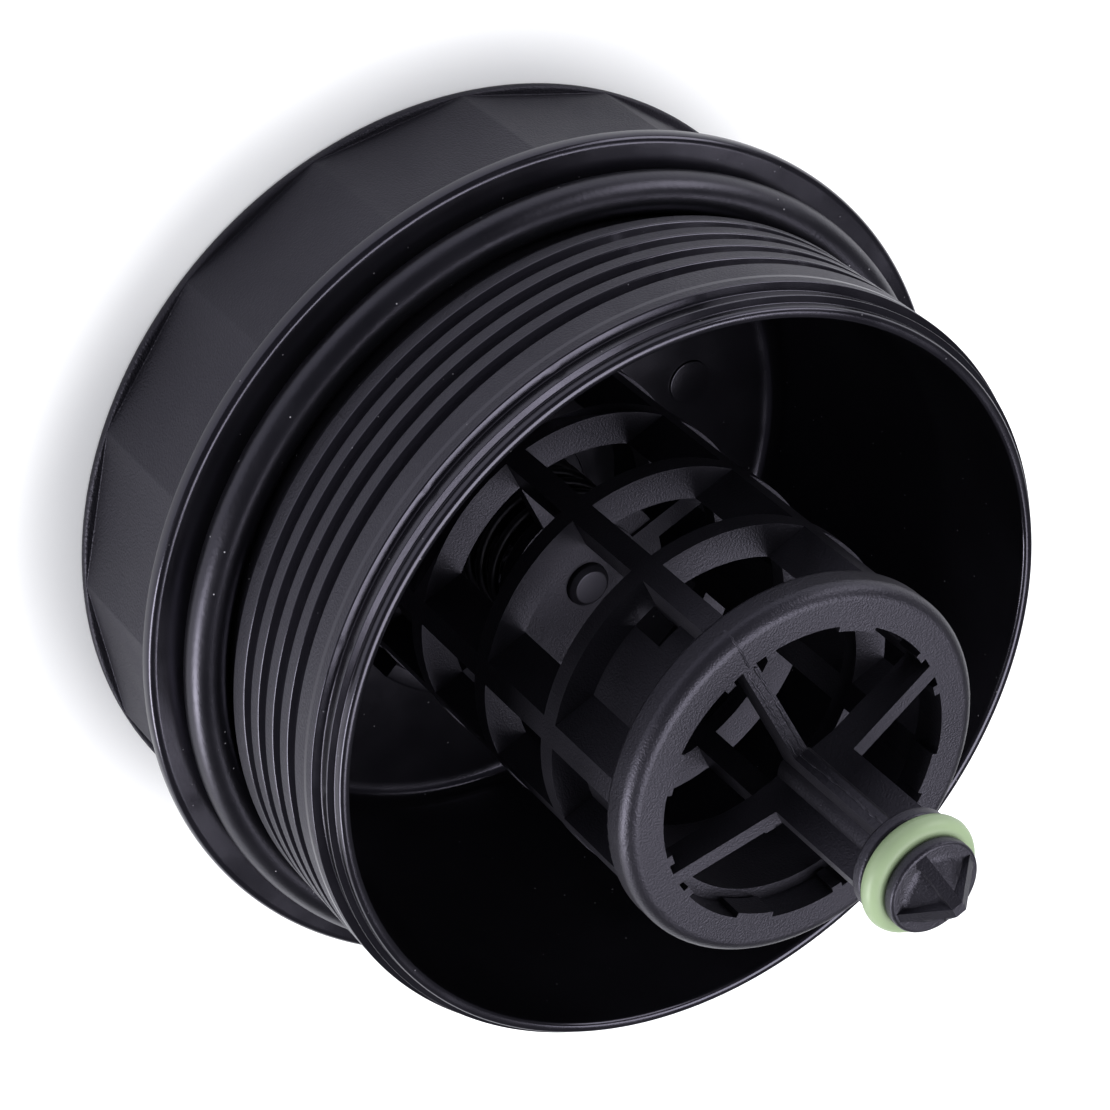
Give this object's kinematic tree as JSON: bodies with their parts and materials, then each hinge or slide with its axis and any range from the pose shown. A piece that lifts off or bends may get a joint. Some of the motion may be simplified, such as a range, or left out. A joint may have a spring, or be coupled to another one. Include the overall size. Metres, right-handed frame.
{
  "type": "oil filter housing cap",
  "caption": "Screw-on cap of an oil filter housing, with a faceted grip, sealing ring, threaded skirt, windowed support cage, bypass valve and drain pin.",
  "frame": {"origin": "centre of the closed grip end's outer face, which the cap stands on", "axes": "+Z along the cap's axis, from the closed end to the drain pin's tip; +X through the bars where the cage's mould halves meet"},
  "size_m": [0.0932, 0.0932, 0.0893],
  "materials": {
    "cap_plastic": "fine-grained glass-filled nylon, glossy inside and on the flange",
    "cage_plastic": "satin glass-filled nylon",
    "black_rubber": "satin",
    "green_rubber": "satin",
    "valve_plastic": "satin",
    "spring_steel": "drawn wire"
  },
  "bodies": {
    "cap": {"cap_body": "cap_plastic", "cap_o_ring": "black_rubber"},
    "cage": {"support_cage": "cage_plastic", "drain_pin_o_ring": "green_rubber", "valve_seat_ring": "valve_plastic", "bypass_spring": "spring_steel"},
    "plunger": {"bypass_plunger": "valve_plastic"}
  },
  "joints": [
    {"name": "cage_turn", "type": "hinge", "parent": "cap", "child": "cage", "pos_m": [0, 0, 0.007], "axis": [0, 0, 1], "continuous": true},
    {"name": "bypass_lift", "type": "slide", "parent": "cage", "child": "plunger", "axis": [0, 0, 1], "range_m": [0, 0.003], "stiffness_N_per_m": 6000, "springref_m": -0.006, "deforming": ["bypass_spring"]}
  ]
}
